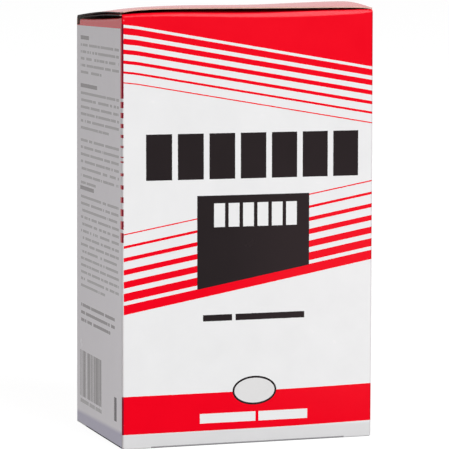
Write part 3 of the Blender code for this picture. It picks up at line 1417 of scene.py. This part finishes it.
@dataclass(frozen=True)
class BoardFinish:
    """Coated white board under a satin varnish, with its fibres just showing."""

    specular: float = 0.25
    varnish: float = 0.0
    varnish_roughness: float = 0.15
    sheen_tint: Colour = (1.0, 0.6, 0.65)
    fibre_grain: float = 0.45
    fibre_height: float = 0.004
    mottle: float = 0.035
    blotch_grain: float = 9.0
    unevenness: float = 0.03
    smoothest: float = 0.2
    ink_wobble: float = 0.06
    wobble_grain: float = 0.5
    wear_grain: float = 1.6
    wear_gaps: float = 0.66
    wear_width: float = 0.5
    wear_strength: float = 0.5
    worn_colour: Colour = (0.70, 0.62, 0.60)

    def printed(
        self,
        name: str,
        impressions: Sequence[Impression],
        across: str = "X",
        mirrored: bool = False,
        paper: Ink = BARE,
        folds: Sequence[tuple[float, float, float]] = (),
        foot: Foot = Foot(),
    ) -> bpy.types.Material:
        """Makes the material of one printed surface.

        Args:
            name: the material's name.
            impressions: the inks and their motifs, in the order of printing.
            across: the axis that runs across the surface.
            mirrored: whether the surface is read against that axis.
            paper: what shows where nothing is printed.
            folds: the u, the lowest and the highest v of each upright fold that is worn.
            foot: the painted shade next to the floor.

        Returns:
            The material.
        """
        sheet = NodeSheet(name, across, mirrored)
        wobble = sheet.span(sheet.noise(self.wobble_grain), -self.ink_wobble, self.ink_wobble)
        sheet.u = sheet.math("ADD", sheet.u, wobble)
        sheet.v = sheet.math("ADD", sheet.v, wobble)
        colour: Socket | Colour = paper.colour
        roughness: Value = paper.roughness
        for impression in impressions:
            printed = sheet.either(*(motif.mask(sheet) for motif in impression.motifs))
            colour = sheet.mix(printed, colour, impression.ink.colour)
            inked = sheet.span(printed, paper.roughness, impression.ink.roughness)
            roughness = sheet.math("MAXIMUM", inked, self.smoothest)
        if folds:
            colour = sheet.mix(self._wear(sheet, folds), colour, self.worn_colour)
        # Painted shade: the colour is darkened next to the floor.
        colour = sheet.mix(foot.mask(sheet), colour, foot.shade, "MULTIPLY")
        blotches = sheet.noise(self.blotch_grain, detail=4.0)
        colour = sheet.brighten(colour, sheet.span(blotches, 1 - self.mottle, 1 + self.mottle))
        uneven = sheet.span(blotches, -self.unevenness, self.unevenness)
        sheet.shade(Base_Color=colour, Roughness=sheet.math("ADD", roughness, uneven))
        sheet.shade(Specular_IOR_Level=self.specular, Specular_Tint=self.sheen_tint)
        sheet.shade(Coat_Weight=self.varnish, Coat_Roughness=self.varnish_roughness)
        fibres = sheet.noise(self.fibre_grain, detail=3.0)
        sheet.bump(fibres, strength=0.6, distance=self.fibre_height)
        return sheet.material

    def _wear(self, sheet: NodeSheet, folds: Sequence[tuple[float, float, float]]) -> Socket:
        """Marks small rubbed specks along upright folds.

        Args:
            sheet: the material's nodes.
            folds: each one's u, low end and high end.

        Returns:
            How much of the coating is gone, 0 to 1.
        """
        grain = sheet.noise(self.wear_grain, detail=3.0)
        specks = sheet.math("GREATER_THAN", grain, self.wear_gaps)
        reach = self.wear_width
        lines = [Block(u - reach, u + reach, low, high).mask(sheet) for u, low, high in folds]
        return sheet.both(specks, sheet.either(*lines), self.wear_strength)


@dataclass(frozen=True)
class RawBoardFinish:
    """Board that has no coating: its grey inside, or its fibrous cut edge."""

    light: Colour
    dark: Colour
    grain: float
    roughness: float = 0.85
    roughness_spread: float = 0.1
    fibre_height: float = 0.03

    def make(self, name: str) -> bpy.types.Material:
        """Makes the material.

        Args:
            name: its name.

        Returns:
            The finished material.
        """
        sheet = NodeSheet(name)
        fibres = sheet.ramp(sheet.noise(self.grain, detail=4.0), SOFT_CONTRAST)
        rough = sheet.span(fibres, self.roughness - self.roughness_spread, self.roughness)
        sheet.shade(Base_Color=sheet.mix(fibres, self.dark, self.light), Roughness=rough)
        sheet.bump(fibres, strength=0.8, distance=self.fibre_height)
        return sheet.material


@dataclass(frozen=True)
class PowderFinish:
    """Fine dry cement: matte grey with soft lumps."""

    pale: Colour = (0.46, 0.46, 0.45)
    deep: Colour = (0.34, 0.34, 0.335)
    lump_grain: float = 6.0
    lump_height: float = 0.25
    dust_grain: float = 0.4
    roughness: float = 0.88

    def make(self) -> bpy.types.Material:
        """Makes the material.

        Returns:
            The finished material.
        """
        sheet = NodeSheet("cement_powder")
        lumps = sheet.ramp(sheet.noise(self.lump_grain, detail=6.0), SOFT_CONTRAST)
        dust = sheet.noise(self.dust_grain, detail=2.0)
        rough = sheet.span(dust, self.roughness, 1.0)
        sheet.shade(Base_Color=sheet.mix(lumps, self.deep, self.pale), Roughness=rough)
        height = sheet.math("ADD", lumps, dust)
        sheet.bump(height, strength=0.7, distance=self.lump_height)
        return sheet.material


@dataclass
class Carton:
    """The whole carton: the printed board and the powder in it."""

    board: CartonBoard = field(default_factory=CartonBoard)
    finish: BoardFinish = BoardFinish()
    front: FrontPrint = FrontPrint()
    left: LeftPrint = LeftPrint()
    inside: RawBoardFinish = RawBoardFinish((0.50, 0.48, 0.45), (0.36, 0.34, 0.32), 0.8)
    cut_edge: RawBoardFinish = RawBoardFinish((0.85, 0.50, 0.42), (0.60, 0.33, 0.27), 0.25)
    # The ends' cut edges, painted near black as shade.
    end_edge_painted_shade: RawBoardFinish = RawBoardFinish((0.09, 0.07, 0.075), (0.035, 0.028, 0.03), 0.25)
    base_edge: RawBoardFinish = RawBoardFinish((0.62, 0.61, 0.59), (0.45, 0.44, 0.42), 0.25)
    powder: PowderFinish = PowderFinish()
    worn_inset: float = 0.4
    # The height above which the front left fold keeps the full red, without painted shade.
    fold_top: float = 157.0
    rubbed: RubbedCorner = RubbedCorner(-48.8, -31.0, 4.2, 4.0)
    # Painted shadow lines along the base folds, where they stay clear of the floor.
    side_contact_shadow: ContactShadowLine = ContactShadowLine(-60.0, -48.4, -33.0, 18.0)
    front_contact_shadow: ContactShadowLine = ContactShadowLine(-38.0, 38.0, -33.0, -31.6)

    def build(self, nodes: dict[str, bpy.types.Object]) -> list[bpy.types.Object]:
        """Builds the board and dresses the powder.

        Args:
            nodes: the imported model's objects by name.

        Returns:
            The pieces that show.
        """
        board = self.board.build()
        made = self._materials()
        for surface in Surface:
            board.data.materials.append(made[surface])
        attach(board, "root")
        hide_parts("carton")
        powder = nodes["cement_powder"]
        powder.material_slots[0].material = self.powder.make()
        return [board, powder]

    def _materials(self) -> dict[Surface, bpy.types.Material]:
        """Makes the board's materials.

        Returns:
            One material for each surface.
        """
        finish, front, left = self.finish, self.front, self.left
        varnished = replace(finish, varnish=0.5, sheen_tint=(1.0, 0.92, 0.90))
        matte = replace(finish, specular=0.0)
        form = self.board.form
        worn = ((self.worn_inset - form.width / 2, 0.0, form.height),)
        ground = (*front.ground(), front.band)
        # The front left fold's print in a darker red: painted shade.
        fold = Impression(SHADED_FOLD_RED, (*left.fold.motifs(), front.band))
        fold_top = Impression(RED, (Band(LEVEL, self.fold_top),))
        all_red = Impression(RED, (Band(LEVEL, 0.0),))
        rubbed = Impression(RUBBED, (self.rubbed,))
        # Painted shadow lines on the base.
        side_contact_shadow = Impression(MARK_AND_SHADOW_GREY, (self.side_contact_shadow,))
        front_contact_shadow = Impression(CONTACT_SHADOW_GREY, (self.front_contact_shadow,))
        red_sides = (Impression(RED, (left.band,)),)
        # Painted shade on the right and back folds: darker copies of their print and board.
        shaded_ground = (Impression(SHADED_EDGE_RED, ground),)
        shaded_band = (Impression(SHADED_FOLD_RED, (left.band,)),)
        return {
            Surface.FRONT: finish.printed("front_print", front.impressions(), folds=worn),
            Surface.FRONT_FOLD: finish.printed("fold_print_painted_shade", (fold, fold_top), paper=SHADED_FOLD_BARE),
            Surface.LEFT: finish.printed(
                "left_print", left.impressions(), "Y", True, SIDE, foot=SIDE_FOOT
            ),
            Surface.RIGHT: finish.printed("right_print", red_sides, "Y"),
            Surface.BACK: finish.printed("back_print", (Impression(RED, ground),), "X", True),
            Surface.OUTER_FLAP: varnished.printed("outer_flap_print", (all_red, rubbed)),
            Surface.TUCKED_FLAP: finish.printed("tucked_flap_print", (all_red,)),
            Surface.BASE: matte.printed("base_board_painted_shadow", (side_contact_shadow, front_contact_shadow)),
            Surface.INSIDE: self.inside.make("board_inside"),
            Surface.RIGHT_FOLD: finish.printed("right_fold_print", shaded_ground, paper=SHADED_FOLD_BARE),
            Surface.BACK_FOLD: finish.printed("back_fold_print", shaded_band, paper=SHADED_FOLD_BARE),
            Surface.CUT_EDGE: self.cut_edge.make("board_cut_edge"),
            Surface.END_EDGE: self.end_edge_painted_shade.make("board_end_edge"),
            Surface.BASE_EDGE: self.base_edge.make("board_base_edge"),
        }


def direction(azimuth: float, elevation: float) -> Vector:
    """Gives the way that an azimuth, from the back to the right, and an elevation point."""
    level = math.cos(elevation)
    return Vector((math.sin(azimuth) * level, math.cos(azimuth) * level, math.sin(elevation)))


@dataclass(frozen=True)
class Camera:
    """The photograph's camera: a long lens, to the left of the carton and a little above it."""

    yaw: float = math.radians(18.101)
    pitch: float = math.radians(6.034)
    roll: float = math.radians(-0.133)
    distance: float = 1093.388
    aim_right: float = 0.783
    aim_up: float = -0.978
    aim_height: float = 80.0
    focal_pixels: float = 2860.4
    image_pixels: float = 449.0
    sensor: float = 36.0
    clip: tuple[float, float] = (0.05, 100.0)

    def place(self) -> None:
        """Makes the camera and sets it as the scene's."""
        forward = direction(self.yaw, -self.pitch)
        level = forward.cross(Vector((0.0, 0.0, 1.0))).normalized()
        turned = Matrix.Rotation(self.roll, 3, forward)
        right = turned @ level
        up = right.cross(forward)
        aim = Vector((0.0, 0.0, self.aim_height)) + right * self.aim_right + up * self.aim_up
        data = bpy.data.cameras.new("camera")
        data.sensor_width = self.sensor
        data.lens = self.focal_pixels / self.image_pixels * self.sensor
        data.clip_start, data.clip_end = self.clip
        camera = bpy.data.objects.new("camera", data)
        axes = Matrix((right, up, -forward)).transposed().to_4x4()
        camera.matrix_world = Matrix.Translation((aim - forward * self.distance) * MM) @ axes
        bpy.context.scene.collection.objects.link(camera)
        bpy.context.scene.camera = camera


@dataclass(frozen=True)
class Studio:
    """A pale floor, a bright sweep behind the carton, one soft lamp and two low cards."""

    floor_radius: float = 30.0
    floor_drop: float = 0.00005
    floor_segments: int = 64
    floor_white: float = 0.15
    floor_roughness: float = 0.9
    floor_glow: float = 0.94
    lamp_azimuth: float = math.radians(155)
    lamp_elevation: float = math.radians(33)
    lamp_distance: float = 4.0
    lamp_size: float = 2.8
    lamp_power: float = 207.0
    card_size: float = 0.10
    side_card: tuple[float, float, float] = (-0.20, -0.10, 0.02)
    side_card_power: float = 0.05
    front_card: tuple[float, float, float] = (0.12, -0.22, 0.03)
    front_card_power: float = 0.025
    front_sky: float = 0.015
    left_sky: Ramp = Ramp(0.0, 0.8, 0.29)
    high_sky: Ramp = Ramp(0.2, 0.9, 0.15)
    sweep: Ramp = Ramp(0.35, 0.85, 0.78)
    sweep_height: Ramp = Ramp(0.85, 0.4)
    seen_sky: float = 1.0
    camera: Camera = Camera()

    def build(self) -> None:
        """Sets up the floor, the sky, the lamp, the camera and plain display colours."""
        self._floor()
        self._sky()
        self._lamps()
        self.camera.place()
        bpy.context.scene.view_settings.view_transform = "Standard"

    def _floor(self) -> None:
        """Makes the floor, which shows and takes shadows but casts no light of its own."""
        bm = bmesh.new()
        bmesh.ops.create_circle(
            bm, cap_ends=True, segments=self.floor_segments, radius=self.floor_radius
        )
        bmesh.ops.translate(bm, vec=(0, 0, -self.floor_drop), verts=bm.verts)
        mesh = bpy.data.meshes.new("floor")
        bm.to_mesh(mesh)
        bm.free()
        floor = bpy.data.objects.new("floor", mesh)
        bpy.context.scene.collection.objects.link(floor)
        sheet = NodeSheet("floor")
        sheet.shade(Base_Color=(self.floor_white,) * 3, Roughness=self.floor_roughness)
        sheet.shade(Specular_IOR_Level=0.0)
        sheet.shade(Emission_Color=WHITE, Emission_Strength=self.floor_glow)
        mesh.materials.append(sheet.material)
        floor.visible_diffuse = False
        floor.visible_glossy = False

    def _sky(self) -> None:
        """Makes the surrounding light: dark in front, soft at the left, bright behind."""
        world = bpy.data.worlds.new("studio")
        bpy.context.scene.world = world
        world.use_nodes = True
        tree = Nodes(world.node_tree)
        lit = tree.nodes["Background"]
        seen = tree.add("ShaderNodeBackground", Color=(self.seen_sky,) * 3)
        around = tree.add("ShaderNodeTexCoord").outputs["Generated"]
        side, depth, up = tree.add("ShaderNodeSeparateXYZ", Vector=around).outputs
        level = tree.ramp(tree.math("ABSOLUTE", up), self.sweep_height)
        behind = tree.math("MULTIPLY", tree.ramp(depth, self.sweep), level)
        left = tree.ramp(tree.math("MULTIPLY", side, -1.0), self.left_sky)
        light = (behind, left, tree.ramp(up, self.high_sky), self.front_sky)
        tree.feed(lit.inputs["Strength"], reduce(partial(tree.math, "ADD"), light))
        tree.feed(lit.inputs["Color"], WHITE)
        by_camera = tree.add("ShaderNodeLightPath").outputs["Is Camera Ray"]
        choose = tree.add("ShaderNodeMixShader")
        for index, value in enumerate((by_camera, lit.outputs[0], seen.outputs[0])):
            tree.feed(choose.inputs[index], value)
        tree.feed(tree.nodes["World Output"].inputs["Surface"], choose.outputs[0])

    def _lamps(self) -> None:
        """Makes the soft lamp, high and to the right of the front, and the two low cards."""
        aim = Vector((0.0, 0.0, self.camera.aim_height * MM))
        lamp = aim + direction(self.lamp_azimuth, self.lamp_elevation) * self.lamp_distance
        self._area_light("soft_lamp", lamp, aim, self.lamp_size, self.lamp_power)
        cards = (
            ("side_card", Vector(self.side_card), self.side_card_power),
            ("front_card", Vector(self.front_card), self.front_card_power),
        )
        for name, place, power in cards:
            foot = Vector((0.0, 0.0, place.z))
            self._area_light(name, place, foot, self.card_size, power)

    @staticmethod
    def _area_light(name: str, place: Vector, aim: Vector, size: float, power: float) -> None:
        """Makes a square light that looks at a point.

        Args:
            name: its name.
            place: where its middle is.
            aim: the point that it faces.
            size: its side.
            power: its power in watts.
        """
        data = bpy.data.lights.new(name, "AREA")
        data.shape = "SQUARE"
        data.size = size
        data.energy = power
        light = bpy.data.objects.new(name, data)
        light.location = place
        light.rotation_mode = "QUATERNION"
        light.rotation_quaternion = (place - aim).to_track_quat("Z", "Y")
        light.visible_camera = False
        bpy.context.scene.collection.objects.link(light)


def triangles(piece: bpy.types.Object) -> int:
    """Counts a piece's triangles."""
    piece.data.calc_loop_triangles()
    return len(piece.data.loop_triangles)


def main() -> None:
    """Builds the carton and the studio, and reports each piece."""
    logging.basicConfig(level=logging.INFO, format="%(name)s: %(message)s")
    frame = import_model()
    pieces = Carton().build(frame["nodes"])
    Studio().build()
    for piece in pieces:
        LOG.info("%s: %d triangles", piece.name, triangles(piece))


if __name__ == "__main__":
    main()
